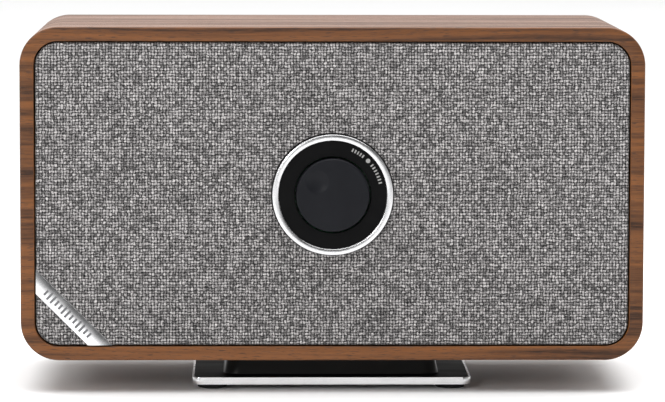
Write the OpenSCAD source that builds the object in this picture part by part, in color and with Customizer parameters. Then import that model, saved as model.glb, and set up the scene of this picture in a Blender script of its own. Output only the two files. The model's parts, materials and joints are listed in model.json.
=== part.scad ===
// Tabletop radio: a veneered cabinet with a cloth grille, a central push-and-turn dial, two
// full-range drivers, a rear bass port and connection recess, and a low stand.
// Millimetres. +X is to the right, +Y to the back, +Z up. The origin is on the surface that the
// radio stands on, under the middle of its overall box.

/* [Cabinet] */
// Outside width of the cabinet
cabinet_w = 310; // [290:1:380]
// Outside height of the cabinet
cabinet_h = 166; // [150:1:210]
// Depth of the cabinet from its front edge to its rear edge
cabinet_d = 138; // [125:1:180]
// Thickness of the cabinet's wall
cabinet_wall = 7; // [6:0.5:10]
// Outside radius of the cabinet's four long corners
cabinet_corner_r = 19; // [14:1:30]
// Thickness of the board that carries the drivers
baffle_t = 9; // [7:0.5:12]
// Distance from the cabinet's front edge to the front of that board
baffle_depth = 8; // [8:0.5:12]
// Thickness of the rear panel
rear_panel_t = 6; // [5:0.5:8]
// How far the rear panel sits inside the cabinet's rear edge
rear_recess = 2; // [1:0.5:4]
// Width of the glued frame that the rear panel screws to
batten_w = 12; // [10:1:16]
// Thickness of that frame, front to back
batten_t = 12; // [9:1:16]

/* [Grille] */
// Gap between the cloth and the cabinet all round
grille_gap = 0.7; // [0.5:0.1:1.2]
// Thickness of the cloth
cloth_t = 0.8; // [0.6:0.1:1.0]
// How far the face of the cloth sits behind the cabinet's front edge
cloth_recess = 0.3; // [0:0.1:1]
// Thickness of the moulded frame under the cloth
grille_frame_t = 4.4; // [3.5:0.1:4.8]
// Width of the cloth that is turned over behind the frame
cloth_turn = 7; // [5:0.5:10]
// Width of the diagonal corner badge
badge_w = 9; // [7:0.5:12]
// Thickness of the badge
badge_t = 1.2; // [1:0.1:1.6]
// Where the upper edge of the badge meets the left side, measured up from the cloth's lower edge
badge_reach = 38; // [32:1:46]

/* [Dial] */
// Outside radius of the metal ring round the dial
ring_r = 30; // [28:0.5:33]
// Width of that ring's face
ring_w = 3; // [2.5:0.25:4]
// How far the ring stands in front of the cabinet's front edge
ring_proud = 3.5; // [2.5:0.25:5]
// Radius of the turning knob
knob_r = 18.2; // [15:0.1:19]
// How far the knob's face stands in front of the ring's face
knob_proud = 2; // [1:0.25:3]
// Gap round the knob
knob_gap = 0.8; // [0.6:0.1:1.2]
// Radius of the finger dimple's rim
dimple_r = 5.7; // [4.5:0.1:6]
// Depth of the finger dimple
dimple_depth = 1; // [0.6:0.1:1.2]
// Distance from the dimple's rim to the knob's edge
dimple_margin = 2.4; // [1.5:0.1:3]
// How far the knob travels when it is pressed
press_travel = 0.8; // [0.5:0.1:1]
// Radius of the encoder's shaft
shaft_r = 3; // [2.5:0.25:3.75]
// Running clearance round the shaft
shaft_clearance = 0.05; // [0.03:0.01:0.1]

/* [Drivers] */
// Distance from the middle of the cabinet to the middle of each driver
driver_x = 88; // [82:1:92]
// Radius of a driver's front flange
flange_r = 46.5; // [44:0.5:48]
// Radius of the hole in the board behind a driver's flange
driver_hole_r = 37; // [36:0.5:40]
// How far a driver's cone travels each way from rest
cone_travel = 2.5; // [1.5:0.25:3]
// Radius of the voice coil's former, inside
coil_r = 12; // [11:0.25:12.5]

/* [Rear] */
// Inner radius of the bass port
port_r = 17; // [14:0.5:20]
// Length of the bass port
port_length = 62; // [45:1:75]
// Distance of the port's axis from the middle of the cabinet
port_x = 86; // [80:1:95]
// Width of the connection recess, inside
tray_w = 108; // [108:1:118]
// Height of the connection recess, inside
tray_h = 28; // [22:1:32]
// Depth of the connection recess
tray_depth = 10; // [8:0.5:14]
// Radius of the audio socket's bore
audio_bore_r = 1.8; // [1.75:0.01:1.85]
// How far the setup button travels when it is pressed
button_travel = 0.5; // [0.3:0.1:0.6]

/* [Stand] */
// Width of the stand's plate
plate_w = 140; // [130:1:170]
// Depth of the stand's plate
plate_d = 110; // [104:1:134]
// Thickness of the stand's plate
plate_t = 3.6; // [3:0.1:5]
// Thickness of the black panel let into the plate's top
top_panel_t = 0.6; // [0.4:0.1:1]
// Distance from the cabinet's front edge to the plate's front edge
plate_setback = 14; // [10:1:24]
// Gap between the plate's top and the underside of the cabinet
stand_gap = 10.5; // [8:0.1:14]
// Radius of each rubber foot
foot_r = 7.4; // [6:0.1:8.9]
// Height of a foot below the plate
foot_h = 2.6; // [2:0.1:4]

/* [Hidden] */
$fn = 64;

// Smallest gap that keeps two fixed pieces apart, and the one round a screw's shank in its pilot hole
glue_gap = 0.1;
pilot_gap = 0.05;
// Gap round a piece that drops into a cut-out
fit_gap = 0.3;
// Extra length of a cutter past the face that it leaves by
past = 1;
// Size of a screw's cross recess, as a share of its head
recess_share = 0.55;

// Frame: depths are measured back from the cabinet's front edge, heights from its middle
knob_front = -(ring_proud + knob_proud);
overall_d = cabinet_d - knob_front;
front_y = -overall_d / 2 - knob_front;
plate_top_z = foot_h + plate_t;
bottom_z = plate_top_z + stand_gap;
mid_z = bottom_z + cabinet_h / 2;

// Cabinet
inner_w = cabinet_w - 2 * cabinet_wall;
inner_h = cabinet_h - 2 * cabinet_wall;
inner_r = cabinet_corner_r - cabinet_wall;
baffle_back = baffle_depth + baffle_t;
panel_back = cabinet_d - rear_recess;
panel_front = panel_back - rear_panel_t;
panel_gap = 0.5;
batten_x = inner_w / 2 - glue_gap - batten_w / 2;
batten_z = inner_h / 2 - glue_gap - batten_w / 2;
wood_screw_r = 1.5;
wood_screw_head_r = 3.2;
wood_screw_head_h = 1.8;
panel_screw_bite = 7;

// Grille
cloth_w = inner_w - 2 * grille_gap;
cloth_h = inner_h - 2 * grille_gap;
cloth_r = inner_r - grille_gap;
cloth_hole_r = ring_r + 0.6;
frame_front = cloth_recess + cloth_t;
frame_back = frame_front + grille_frame_t;
frame_hole_r = cloth_hole_r + 0.7;
peg_x = inner_w / 2 - 18;
peg_z = inner_h / 2 - 14;
peg_r = 3;
peg_depth = baffle_depth + 6;
socket_r = peg_r + 2;
socket_flange_t = 0.8;
socket_flange_r = socket_r + 1.5;
peg_socket_back = peg_depth + 1;
badge_bevel = 0.4;
badge_bars = 13;
badge_bar_w = 1.1;
badge_bar_pitch = 2.5;
// Bar heights, as shares of the badge's width
badge_bar_least = 0.22;
badge_bar_swing = 0.3;
inlay_depth = 0.4;

// Dial, from front to back
ring_inner_r = ring_r - ring_w;
ring_inner_edge = 0.4;
ring_outer_edge = 0.6;
ledge_r = ring_inner_r - 1.6;
fascia_front = -ring_proud + 1.2;
fascia_t = 1.5;
ledge_front = fascia_front + fascia_t;
fascia_inner_r = knob_r + knob_gap + 0.2;
mark_r = (fascia_inner_r + ring_inner_r) / 2 + 1.2;
mark_h = 1.7;
mark_w = 0.7;
mark_depth = 0.3;
mark_angles = [66, 62.5, 59, 55.5, 52, 37, 33.2, 29.4, 25.6, 21.8, 18, 14.2];
dot_angle = 44;
dot_r = 1.1;
housing_front = 4;
housing_flange_r = ring_r + 0.4;
housing_r = 23.5;
housing_wall = 2;
housing_back = housing_front + 18;
board_seat_w = 3.5;
board_ledge = housing_back - 3.9;
housing_screw_r = (housing_r + housing_flange_r) / 2 + 0.25;
housing_screw_head_r = 2.6;
housing_screw_head_h = 1.8;
encoder_board_t = 1.6;
encoder_board_front = board_ledge - encoder_board_t;
guide_leg_r = 1;
guide_leg_at = housing_r - housing_wall - 1.3;
guide_t = 1.8;
guide_gap = 0.2;
led_angles = [58.5, 43, 25];
led_t = 1.5;
led_w = 1.6;
encoder_front = encoder_board_front - 7;
bushing_front = housing_front + press_travel + 0.2;
bushing_r = shaft_r + 1.5;
encoder_skin = 1.5;
collar_r = shaft_r + 2;
cavity_r = collar_r + 0.5;
encoder_w = 2 * cavity_r + 2;
collar_t = 1.2;
collar_front = encoder_front + encoder_skin + 0.2;
plunger_front = collar_front + collar_t + 0.05;
plunger_r = 2.5;
plunger_back = plunger_front + 2;
plunger_pin_r = 1;
plunger_pin_back = encoder_board_front - press_travel - 0.1;
knob_wall = 2;
knob_skirt_back = 2;
knob_fillet = 1;
knob_hub_r = shaft_r + 3;
shaft_front = knob_front + 2.5;
dimple_offset = knob_r - dimple_margin - dimple_r;
dimple_angle = 139.5;
dimple_sphere_r = (dimple_r ^ 2 + dimple_depth ^ 2) / (2 * dimple_depth);

// Drivers, from front to back
flange_t = 2.5;
flange_back = baffle_depth + flange_t;
basket_r = driver_hole_r - 1;
basket_wall = 1.6;
seat_r = basket_r - 3;
basket_back = baffle_depth + 28;
basket_back_r = basket_r - 5;
spider_ledge = baffle_depth + 21;
spider_ledge_t = 1.5;
spider_seat_r = basket_back_r - 6;
window_w = 14;
driver_screw_r = (driver_hole_r + flange_r) / 2 - 0.25;
driver_screw_head_r = 3;
driver_screw_head_h = 1.6;
former_t = 0.3;
winding_t = 0.7;
pole_r = coil_r - 0.7;
top_plate_hole_r = coil_r + former_t + winding_t + 0.6;
motor_r = basket_back_r - 1;
top_plate_t = 4;
magnet_t = 9;
magnet_r = motor_r - 1;
magnet_hole_r = magnet_r - 11;
yoke_t = 5;
yoke_front = basket_back + top_plate_t + magnet_t;
motor_back = yoke_front + yoke_t;
surround_t = 0.6;
surround_bulge = 3.2;
surround_lip_r = basket_r + 2;
surround_overlap = 2.8;
roll_outer_r = seat_r + 0.6;
cone_r = seat_r - 5.5;
roll_inner_r = cone_r - 0.1;
cone_front = baffle_depth + 2.6;
cone_t = 0.8;
cone_lip = 2.9;
cone_collar = 1.8;
cone_back = cone_front + 14.4;
cone_neck_r = coil_r + former_t + 0.1;
winding_front = basket_back - 1;
winding_back = basket_back + top_plate_t + cone_travel;
former_front = cone_back - 2.4;
cap_r = coil_r + 2.4;
cap_h = 4;
cap_t = 0.5;
cap_back = cone_back - 4;
cap_sphere_r = (cap_r ^ 2 + cap_h ^ 2) / (2 * cap_h);
spider_t = 0.6;
spider_inner = cone_back + 1;
terminal_front = baffle_depth + 12;
terminal_back = baffle_depth + 18;
terminal_w = 8;
terminal_r = basket_r + 2;

// Port
port_wall = 2;
port_flare = 3;
port_edge = 0.6;
port_flange_r = port_r + 8;
port_z = 18;
port_front = cabinet_d - port_length;

// Connection recess, with the sockets' places across it
tray_x = 45;
tray_z = -inner_h / 2 + batten_w + 32;
tray_wall = 2;
tray_flange = 5;
tray_flange_t = 1.6;
tray_r = 4;
tray_flange_back = panel_back + tray_flange_t;
tray_floor_back = tray_flange_back - tray_depth;
tray_floor_front = tray_floor_back - tray_wall;
socket_back = tray_floor_back + 0.4;
board_back = tray_floor_front - 12;
board_t = 1.6;
board_front = board_back - board_t;
board_w = 134;
board_low = -24;
board_high = 62;
pillar_x = 62;
pillar_z = [-19, 57];
pillar_r = 3.4;
pillar_hole_r = 1.5;
pillar_spigot = 4;
board_screw_bite = 7;
board_screw_head_r = 2.6;
board_screw_head_h = 1.6;
button_x = -45;
audio_x = -28;
usb_x = -6;
network_x = 20;
power_x = 44;
button_r = 2.4;
button_flange_r = 3.4;
button_flange_t = 1;
button_proud = 1.6;
switch_t = 3.5;
switch_w = 6;
audio_w = 9;
audio_collar_r = audio_w / 2 - 0.8;
usb_w = 13.2;
usb_h = 5.8;
usb_skin = 0.5;
usb_tongue_w = usb_w - 2.1;
usb_tongue_t = 1.9;
network_w = 16;
network_h = 13.5;
jack_w = 11.8;
jack_h = 9;
jack_depth = 12.5;
jack_contacts = 8;
jack_contact_w = 0.5;
jack_contact_pitch = 1.02;
power_w = 14;
power_collar_r = power_w / 2 - 1.5;
power_hole_r = 3.2;
power_hole_depth = 10;
power_pin_r = 1.05;

// Parts on the front of the amplifier board, placed from the recess's middle
chip_x = 12;
chip_z = 34;
chip_w = 14;
chip_t = 3;
sink_w = 40;
sink_base_t = 4;
sink_fins = 7;
sink_fin_t = 1.6;
sink_fin_h = 16;
can_x = -40;
can_z = [52, 37];
can_r = 6.5;
can_h = 16;
module_x = 48;
module_z = 42;
module_w = 18;
module_h = 26;
module_t = 1;
shield_w = 15;
shield_h = 17;
shield_t = 3.2;

// Ribbon from the encoder board to the amplifier board
ribbon_w = 12;
ribbon_t = 0.8;
ribbon_z = -12;
ribbon_slot_h = 4;
ribbon_path = [[30, ribbon_z], [92, tray_z + 8], [board_front - 8, tray_z + 8]];

// Leads from the drivers to the amplifier board: x, depth and height of the points between their ends
lead_r = 1.2;
lead_sides = 8;
lead_spacing = 6;
left_lead = [[-44, 24, 0], [-38, 40, 4], [-24, 80, 12], [-16, 100, 14]];
right_lead = [[44, 24, 0], [38, 40, 4], [28, 80, 12], [24, 100, 14]];
lead_end_x = [-14, 24];
lead_end_z = 14;

// Stand
plate_r = 4;
plate_y = front_y + plate_setback + plate_d / 2;
panel_inset = 1;
neck_w = plate_w - 31;
neck_d = plate_d - 26;
neck_taper = 5;
neck_r = 8;
foot_pocket = 1;
foot_x = plate_w / 2 - 10;
foot_y = plate_d / 2 - 11.5;
stand_screw_x = 38;
stand_screw_r = 1.95;
stand_screw_head_r = 3.8;
stand_screw_gap = 0.15;
stand_head_inset = 0.2;
stand_head_gap = 0.4;
stand_sink = 2.3;
insert_r = 3;
insert_bore_r = 2;

// ---- Shapes that several parts use ----

// Extrudes a front-view outline from one depth through a thickness
module upright(depth, thick) {
    translate([0, front_y + depth + thick, mid_z]) rotate([90, 0, 0]) linear_extrude(thick) children();
}

// Turns a profile of [radius, depth] points about a front-to-back axis
module lathe(x = 0, z = 0) {
    translate([x, front_y, mid_z + z]) rotate([-90, 0, 0]) rotate_extrude() children();
}

// Round bar between two depths
module rod(r, from, to, x = 0, z = 0) {
    translate([x, front_y + from, mid_z + z]) rotate([-90, 0, 0]) cylinder(r = r, h = to - from);
}

// Block between two depths, centred on x and z
module block(w, h, from, to, x = 0, z = 0) {
    translate([x - w / 2, front_y + from, mid_z + z - h / 2]) cube([w, to - from, h]);
}

module rounded_rect(w, h, r) {
    square([w - 2 * r, h], center = true);
    square([w, h - 2 * r], center = true);
    for (sx = [-1, 1], sz = [-1, 1]) translate([sx * (w / 2 - r), sz * (h / 2 - r)]) circle(r);
}

module cross_recess(r, depth) {
    for (a = [0, 90]) rotate(a) translate([-r, -r / 5, -past]) cube([2 * r, 2 * r / 5, depth + past]);
}

// Screw driven from the front, or from the back when its shank ends in front of its head
module screw(head_r, head_h, shank_r, head_at, shank_to, x, z) {
    way = sign(shank_to - head_at);
    translate([x, front_y + head_at, mid_z + z]) rotate([-90 * way, 0, 0]) difference() {
        union() {
            cylinder(r = head_r, h = head_h);
            cylinder(r = shank_r, h = abs(shank_to - head_at));
        }
        cross_recess(head_r * recess_share, head_h * recess_share);
    }
}

function polar(r, a) = [r * cos(a), r * sin(a)];
function arc(cx, cy, r, from, to, steps) =
    [for (i = [0 : steps]) [cx, cy] + polar(r, from + (to - from) * i / steps)];

// Places of the screws
driver_screws = [for (a = [45 : 90 : 315]) polar(driver_screw_r, a)];
housing_screws = [for (a = [0 : 90 : 270]) polar(housing_screw_r, a)];
panel_screws = [for (sz = [-1, 1], fx = [-1, -1 / 3, 1 / 3, 1]) [fx * batten_x, sz * batten_z]];
pegs = [for (fx = [-1, 0, 1], sz = [-1, 1]) [fx * peg_x, sz * peg_z]];
pillars = [for (sx = [-1, 1], z = pillar_z) [tray_x + sx * pillar_x, tray_z + z]];

// ---- Cabinet ----

module cabinet_sleeve() {
    color("saddlebrown") difference() {
        upright(0, cabinet_d) difference() {
            rounded_rect(cabinet_w, cabinet_h, cabinet_corner_r);
            rounded_rect(inner_w, inner_h, inner_r);
        }
        for (side = [-1, 1]) translate([side * stand_screw_x, plate_y, bottom_z - past])
            cylinder(r = insert_r + pilot_gap, h = cabinet_wall + 2 * past);
    }
}

module front_baffle() {
    color("dimgray") difference() {
        upright(baffle_depth, baffle_t) difference() {
            rounded_rect(inner_w - 2 * glue_gap, inner_h - 2 * glue_gap, inner_r - glue_gap);
            circle(housing_r + fit_gap);
            for (side = [-1, 1]) translate([side * driver_x, 0]) circle(driver_hole_r);
            for (p = pegs) translate(p) circle(socket_r + pilot_gap);
        }
        for (side = [-1, 1]) {
            rod(flange_r + fit_gap, baffle_depth - past, flange_back, side * driver_x);
            for (p = driver_screws)
                rod(wood_screw_r + pilot_gap, baffle_depth, baffle_back + past, side * driver_x + p[0], p[1]);
        }
        rod(housing_flange_r + fit_gap, baffle_depth - past, baffle_depth, 0, 0);
        for (p = housing_screws)
            rod(wood_screw_r + pilot_gap, baffle_depth - past, baffle_back + past, p[0], p[1]);
    }
}

module rear_batten_frame() {
    color("dimgray") difference() {
        upright(panel_front - batten_t, batten_t) difference() {
            rounded_rect(inner_w - 2 * glue_gap, inner_h - 2 * glue_gap, inner_r - glue_gap);
            square([2 * batten_x - batten_w, 2 * batten_z - batten_w], center = true);
        }
        for (p = panel_screws)
            rod(wood_screw_r + pilot_gap, panel_front - panel_screw_bite - 1, panel_front + past, p[0], p[1]);
    }
}

module rear_panel() {
    color([0.13, 0.13, 0.13]) difference() {
        upright(panel_front, rear_panel_t) difference() {
            rounded_rect(inner_w - 2 * panel_gap, inner_h - 2 * panel_gap, inner_r - panel_gap);
            translate([-port_x, port_z]) circle(port_r + port_wall + fit_gap);
            translate([tray_x, tray_z]) rounded_rect(tray_w + 2 * tray_wall + 2 * fit_gap,
                tray_h + 2 * tray_wall + 2 * fit_gap, tray_r);
            for (p = panel_screws) translate(p) circle(wood_screw_r + fit_gap);
        }
        for (p = pillars)
            rod(pillar_hole_r + pilot_gap, panel_front - past, panel_front + pillar_spigot + 0.5, p[0], p[1]);
    }
}

module rear_panel_screws() {
    color("black") for (p = panel_screws)
        screw(wood_screw_head_r, wood_screw_head_h, wood_screw_r, panel_back + wood_screw_head_h,
            panel_front - panel_screw_bite, p[0], p[1]);
}

module port_tube() {
    mouth = arc(port_r + port_flare, cabinet_d - port_flare, port_flare, 180, 90, 8);
    color([0.1, 0.1, 0.1]) lathe(-port_x, port_z) polygon(concat([
        [port_r, port_front],
    ], mouth, [
        [port_flange_r - port_edge, cabinet_d],
        [port_flange_r, cabinet_d - port_edge],
        [port_flange_r, panel_back],
        [port_r + port_wall, panel_back],
        [port_r + port_wall, port_front],
    ]));
}

// ---- Grille ----

module grille_frame() {
    color([0.12, 0.12, 0.12]) union() {
        upright(frame_front, grille_frame_t) difference() {
            rounded_rect(cloth_w - 2 * cloth_t, cloth_h - 2 * cloth_t, cloth_r - cloth_t);
            circle(frame_hole_r);
            for (side = [-1, 1]) translate([side * driver_x, 0]) circle(driver_hole_r - 0.5);
        }
        for (p = pegs) rod(peg_r, frame_back - past, peg_depth, p[0], p[1]);
    }
}

// Cloth drawn over the frame's front and edges, and turned over behind it
module grille_cloth() {
    color([0.5, 0.49, 0.48]) difference() {
        upright(cloth_recess, frame_back + cloth_t - cloth_recess) rounded_rect(cloth_w, cloth_h, cloth_r);
        upright(frame_front, grille_frame_t)
            rounded_rect(cloth_w - 2 * cloth_t, cloth_h - 2 * cloth_t, cloth_r - cloth_t);
        upright(frame_back - past, cloth_t + 2 * past) rounded_rect(cloth_w - 2 * cloth_t - 2 * cloth_turn,
            cloth_h - 2 * cloth_t - 2 * cloth_turn, cloth_r - cloth_t - 1);
        rod(cloth_hole_r, cloth_recess - past, frame_front + past);
    }
}

module grille_sockets() {
    color([0.2, 0.2, 0.2]) for (p = pegs) lathe(p[0], p[1]) polygon([
        [peg_r + pilot_gap, baffle_depth - socket_flange_t],
        [socket_flange_r, baffle_depth - socket_flange_t],
        [socket_flange_r, baffle_depth],
        [socket_r, baffle_depth],
        [socket_r, peg_socket_back],
        [peg_r + pilot_gap, peg_socket_back],
    ]);
}

// Front-view outline of the diagonal strip, with its upper edge through the badge's own origin
module badge_place() {
    translate([-cloth_w / 2, -cloth_h / 2 + badge_reach]) rotate(-45) children();
}

module badge_bar(i, gap) {
    mid = badge_reach / sqrt(2);
    tall = badge_w * (badge_bar_least + badge_bar_swing * abs(sin(i * 45 + 20)));
    badge_place() translate([mid + (i - (badge_bars - 1) / 2) * badge_bar_pitch, -badge_w / 2 - 0.2])
        square([badge_bar_w + 2 * gap, tall + 2 * gap], center = true);
}

module badge() {
    color("gainsboro") difference() {
        upright(cloth_recess - badge_t, badge_t) intersection() {
            rounded_rect(cloth_w, cloth_h, cloth_r);
            badge_place() translate([-badge_reach, -badge_w]) square([3 * badge_reach, badge_w]);
        }
        translate([-cloth_w / 2, front_y + cloth_recess - badge_t, mid_z - cloth_h / 2 + badge_reach])
            rotate([0, 45, 0]) rotate([45, 0, 0])
                cube([6 * badge_reach, badge_bevel * sqrt(2), badge_bevel * sqrt(2)], center = true);
        for (i = [0 : badge_bars - 1])
            upright(cloth_recess - badge_t - past, past + inlay_depth) badge_bar(i, pilot_gap);
    }
}

module badge_inlay() {
    color("dimgray") for (i = [0 : badge_bars - 1])
        upright(cloth_recess - badge_t, inlay_depth) badge_bar(i, 0);
}

// ---- Dial ----

module dial_ring() {
    color("silver") lathe() polygon([
        [ledge_r, ledge_front],
        [ring_inner_r, ledge_front],
        [ring_inner_r, -ring_proud + ring_inner_edge],
        [ring_inner_r + ring_inner_edge, -ring_proud],
        [ring_r - ring_outer_edge, -ring_proud],
        [ring_r, -ring_proud + ring_outer_edge],
        [ring_r, housing_front],
        [ledge_r, housing_front],
    ]);
}

module source_mark_outlines(gap) {
    for (a = mark_angles) rotate(a) translate([mark_r, 0])
        square([mark_h + 2 * gap, mark_w + 2 * gap], center = true);
    translate(polar(mark_r, dot_angle)) circle(dot_r + gap);
}

module dial_fascia() {
    color([0.09, 0.09, 0.09]) difference() {
        upright(fascia_front, fascia_t) difference() {
            circle(ring_inner_r - glue_gap);
            circle(fascia_inner_r);
        }
        upright(fascia_front - past, mark_depth + past) source_mark_outlines(pilot_gap);
    }
}

module source_marks() {
    color("whitesmoke") upright(fascia_front, mark_depth) source_mark_outlines(0);
}

module light_guide() {
    color("whitesmoke") union() {
        upright(ledge_front, guide_t) difference() {
            circle(ledge_r - guide_gap);
            circle(fascia_inner_r + guide_gap);
        }
        for (a = led_angles) rod(guide_leg_r, ledge_front + past, encoder_board_front - led_t - glue_gap,
            guide_leg_at * cos(a), guide_leg_at * sin(a));
    }
}

module dial_housing() {
    hollow_r = housing_r - housing_wall;
    color([0.15, 0.15, 0.15]) difference() {
        lathe() polygon([
            [hollow_r, housing_front],
            [housing_flange_r, housing_front],
            [housing_flange_r, baffle_depth],
            [housing_r, baffle_depth],
            [housing_r, housing_back],
            [0, housing_back],
            [0, housing_back - housing_wall],
            [hollow_r - board_seat_w, housing_back - housing_wall],
            [hollow_r - board_seat_w, board_ledge],
            [hollow_r, board_ledge],
        ]);
        block(ribbon_w + 2, ribbon_slot_h, board_ledge - past, housing_back + past, 0, ribbon_z);
        for (p = housing_screws) {
            rod(wood_screw_r + pilot_gap, housing_front, baffle_depth + past, p[0], p[1]);
            rod(housing_screw_head_r + 0.2, housing_front - past, housing_front + housing_screw_head_h + 0.2,
                p[0], p[1]);
        }
    }
}

module encoder_board() {
    color("darkgreen") rod(housing_r - housing_wall - fit_gap, encoder_board_front, board_ledge);
}

module indicator_leds() {
    color("whitesmoke") for (a = led_angles)
        block(led_w, led_w, encoder_board_front - led_t, encoder_board_front, guide_leg_at * cos(a),
            guide_leg_at * sin(a));
}

module encoder_body() {
    color("lightgray") difference() {
        union() {
            block(encoder_w, encoder_w, encoder_front, encoder_board_front);
            rod(bushing_r, bushing_front, encoder_front + past);
        }
        rod(shaft_r + shaft_clearance, bushing_front - past, encoder_front + encoder_skin + past);
        rod(cavity_r, encoder_front + encoder_skin, encoder_board_front + past);
    }
}

module encoder_plunger() {
    color("white") union() {
        rod(plunger_r, plunger_front, plunger_back);
        rod(plunger_pin_r, plunger_back - past, plunger_pin_back);
    }
}

module encoder_shaft() {
    color("silver") union() {
        rod(shaft_r, shaft_front, collar_front + past);
        rod(collar_r, collar_front, collar_front + collar_t);
    }
}

module dial_knob() {
    edge = arc(knob_r - knob_fillet, knob_front + knob_fillet, knob_fillet, -90, 0, 8);
    color([0.16, 0.165, 0.175]) difference() {
        lathe() polygon(concat([[0, knob_front]], edge, [
            [knob_r, knob_skirt_back],
            [knob_r - knob_wall, knob_skirt_back],
            [knob_r - knob_wall, knob_front + knob_wall],
            [knob_hub_r, knob_front + knob_wall],
            [knob_hub_r, housing_front],
            [0, housing_front],
        ]));
        rod(shaft_r + pilot_gap / 2, shaft_front, housing_front + past);
        translate([dimple_offset * cos(dimple_angle), front_y + knob_front + dimple_depth - dimple_sphere_r,
            mid_z + dimple_offset * sin(dimple_angle)]) sphere(dimple_sphere_r, $fn = 96);
    }
}

// ---- Drivers ----

module driver_basket(x) {
    color([0.2, 0.2, 0.2]) difference() {
        lathe(x) polygon([
            [seat_r, baffle_depth],
            [flange_r, baffle_depth],
            [flange_r, flange_back],
            [basket_r, flange_back],
            [basket_back_r, basket_back],
            [top_plate_hole_r + 0.4, basket_back],
            [top_plate_hole_r + 0.4, basket_back - basket_wall],
            [basket_back_r - basket_wall, basket_back - basket_wall],
            [basket_back_r - 0.8, spider_ledge + spider_ledge_t],
            [spider_seat_r, spider_ledge + spider_ledge_t],
            [spider_seat_r, spider_ledge],
            [basket_back_r - 0.4, spider_ledge],
            [basket_r - basket_wall, flange_back],
            [seat_r, flange_back],
        ]);
        for (a = [30 : 60 : 330]) translate([x, 0, mid_z]) rotate([0, a, 0]) translate([0, 0, -mid_z])
            block(window_w + 2 * basket_wall, window_w, flange_back + 2.5, spider_ledge - 2, basket_r - 3);
        for (p = driver_screws)
            rod(wood_screw_r + fit_gap, baffle_depth - past, flange_back + past, x + p[0], p[1]);
    }
}

module driver_motor(x) {
    color([0.25, 0.25, 0.27]) {
        lathe(x) polygon([
            [top_plate_hole_r, basket_back],
            [motor_r, basket_back],
            [motor_r, basket_back + top_plate_t],
            [magnet_r, basket_back + top_plate_t],
            [magnet_r, yoke_front],
            [motor_r, yoke_front],
            [motor_r, motor_back - 1],
            [motor_r - 1, motor_back],
            [0, motor_back],
            [0, basket_back],
            [pole_r, basket_back],
            [pole_r, yoke_front],
            [magnet_hole_r, yoke_front],
            [magnet_hole_r, basket_back + top_plate_t],
            [top_plate_hole_r, basket_back + top_plate_t],
        ]);
    }
}

// Half-round roll between the cone's edge and the basket's seat, with a flat lip at each side
function roll(thin, from, to) = [for (i = [0 : 16])
    let (t = i / 16, a = from + (to - from) * t, half = (roll_outer_r - roll_inner_r) / 2 - thin,
        r = (roll_outer_r + roll_inner_r) / 2 + half * cos(a), w = (r - roll_inner_r)
        / (roll_outer_r - roll_inner_r))
    [r, (cone_front - surround_t) * (1 - w) + (baffle_depth - surround_t) * w
        - (surround_bulge - thin) * sin(a)]];

module driver_surround(x) {
    color([0.1, 0.1, 0.1]) lathe(x) polygon(concat([
        [roll_inner_r - surround_overlap, cone_front - surround_t],
    ], roll(0, 180, 0), [
        [surround_lip_r, baffle_depth - surround_t],
        [surround_lip_r, baffle_depth],
        [roll_outer_r - surround_t, baffle_depth],
    ], roll(surround_t, 0, 180), [
        [roll_inner_r + surround_t, cone_front],
        [roll_inner_r - surround_overlap, cone_front],
    ]));
}

// Corrugated disc that centres the voice coil
function spider_line(lift) = [for (i = [0 : 24])
    let (t = i / 24, r0 = cone_neck_r + 1.4, r1 = spider_seat_r)
    [r0 + (r1 - r0) * t, spider_inner + (spider_ledge - spider_t - spider_inner) * t
        + 0.8 * sin(1080 * t) + lift]];

module driver_spider(x) {
    outer_r = basket_back_r - 0.8;
    color("goldenrod") lathe(x) polygon(concat([
        [cone_neck_r - 0.05, spider_inner],
    ], spider_line(0), [
        [outer_r, spider_ledge - spider_t],
        [outer_r, spider_ledge],
    ], [for (i = [24 : -1 : 0]) spider_line(spider_t)[i]], [
        [cone_neck_r - 0.05, spider_inner + spider_t],
    ]));
}

module driver_cone(x) {
    color([0.17, 0.17, 0.18]) lathe(x) polygon([
        [cone_r, cone_front],
        [cone_r, cone_front + cone_t],
        [cone_r - cone_lip + 0.6, cone_front + cone_t],
        [cone_neck_r + cone_t, cone_back - cone_collar + 0.4],
        [cone_neck_r + cone_t, cone_back],
        [cone_neck_r, cone_back],
        [cone_neck_r, cone_back - cone_collar],
        [cone_r - cone_lip, cone_front],
    ]);
}

module driver_dust_cap(x) {
    apex = cap_back - cap_h;
    centre = apex + cap_sphere_r;
    half = asin(cap_r / cap_sphere_r);
    inner = cap_sphere_r - cap_t;
    color([0.15, 0.15, 0.16]) lathe(x) polygon(concat(
        arc(0, centre, cap_sphere_r, -90, -90 + half, 12),
        arc(0, centre, inner, -90 + half, -90, 12)
    ));
}

module driver_coil(x) {
    color("peru") lathe(x) polygon([
        [coil_r, former_front],
        [coil_r + former_t, former_front],
        [coil_r + former_t, winding_front],
        [coil_r + former_t + winding_t, winding_front],
        [coil_r + former_t + winding_t, winding_back],
        [coil_r, winding_back],
    ]);
}

module driver_terminals() {
    slope = (basket_r - basket_back_r) / (basket_back - flange_back);
    front_r = basket_r - slope * (terminal_front - past - flange_back);
    back_r = basket_r - slope * (terminal_back + past - flange_back);
    color("tan") for (side = [-1, 1]) difference() {
        block(terminal_r, terminal_w, terminal_front, terminal_back, side * (driver_x - terminal_r / 2));
        lathe(side * driver_x) polygon([
            [0, terminal_front - past],
            [front_r + glue_gap, terminal_front - past],
            [back_r + glue_gap, terminal_back + past],
            [0, terminal_back + past],
        ]);
    }
}

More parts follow.
